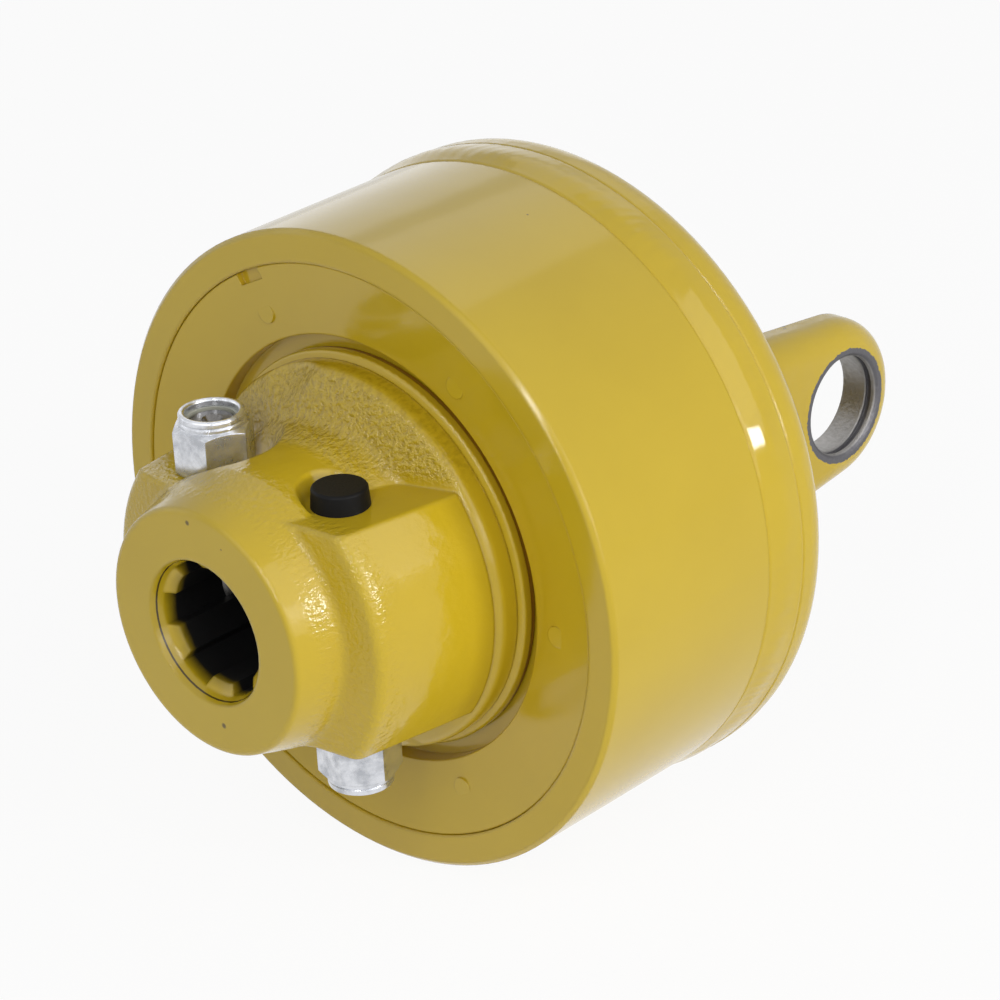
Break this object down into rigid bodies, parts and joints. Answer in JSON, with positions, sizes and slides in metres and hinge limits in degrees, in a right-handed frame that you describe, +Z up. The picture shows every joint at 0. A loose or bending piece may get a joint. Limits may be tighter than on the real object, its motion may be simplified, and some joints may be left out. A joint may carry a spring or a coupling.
{
  "type": "drive shaft coupling",
  "caption": "Splined overload coupling for a drive shaft: a pinned hub turning in a round housing with a cross yoke at its back.",
  "frame": {"origin": "centre of the hub's flat front face, on the turning axis", "axes": "+Y along the turning axis from the hub to the cross yoke; +Z up along the taper pins; +X to the right, along the bore of the yoke"},
  "size_m": [0.1726, 0.217, 0.1726],
  "materials": {
    "yellow_paint": "gloss",
    "zinc_steel": "bright zinc",
    "bare_steel": "machined",
    "pale_nylon": "moulded",
    "black_plastic": "moulded",
    "black_rubber": "matte",
    "bronze": "machined"
  },
  "bodies": {
    "hub_body": {"hub": "yellow_paint", "taper_pin_left": "bare_steel", "taper_pin_right": "bare_steel", "lock_nut_left": "zinc_steel", "lock_nut_right": "zinc_steel", "nut_insert_left": "pale_nylon", "nut_insert_right": "pale_nylon", "plug_cap_left": "black_plastic", "plug_cap_right": "black_plastic", "shield_ring": "yellow_paint", "lip_seal": "black_rubber", "hub_end_cap": "bare_steel", "cam_spring_1": "bare_steel", "cam_spring_2": "bare_steel", "cam_spring_3": "bare_steel", "cam_spring_4": "bare_steel"},
    "housing": {"drum": "yellow_paint", "weld_bead": "yellow_paint", "yoke_flange": "yellow_paint", "cover_ring": "yellow_paint", "cover_seal": "black_rubber", "retaining_wire": "bare_steel", "front_bush": "bronze", "rear_bush": "bronze", "front_thrust_ring": "bare_steel", "rear_thrust_ring": "bare_steel"},
    "cam_1": {"cam_1": "bare_steel"},
    "cam_2": {"cam_2": "bare_steel"},
    "cam_3": {"cam_3": "bare_steel"},
    "cam_4": {"cam_4": "bare_steel"}
  },
  "joints": [
    {"name": "overload_slip", "type": "hinge", "parent": "hub_body", "child": "housing", "pos_m": [0, 0.09, 0], "axis": [0, 1, 0], "continuous": true},
    {"name": "cam_1_slide", "type": "slide", "parent": "hub_body", "child": "cam_1", "axis": [1, 0, 0], "range_m": [0, 0.0065], "deforming": ["cam_spring_1"]},
    {"name": "cam_2_slide", "type": "slide", "parent": "hub_body", "child": "cam_2", "axis": [0, 0, 1], "range_m": [0, 0.0065], "deforming": ["cam_spring_2"]},
    {"name": "cam_3_slide", "type": "slide", "parent": "hub_body", "child": "cam_3", "axis": [-1, 0, 0], "range_m": [0, 0.0065], "deforming": ["cam_spring_3"]},
    {"name": "cam_4_slide", "type": "slide", "parent": "hub_body", "child": "cam_4", "axis": [0, 0, -1], "range_m": [0, 0.0065], "deforming": ["cam_spring_4"]}
  ],
  "couplings": [
    {"joint": "cam_2_slide", "follows": "cam_1_slide", "ratio": 1},
    {"joint": "cam_3_slide", "follows": "cam_1_slide", "ratio": 1},
    {"joint": "cam_4_slide", "follows": "cam_1_slide", "ratio": 1}
  ]
}
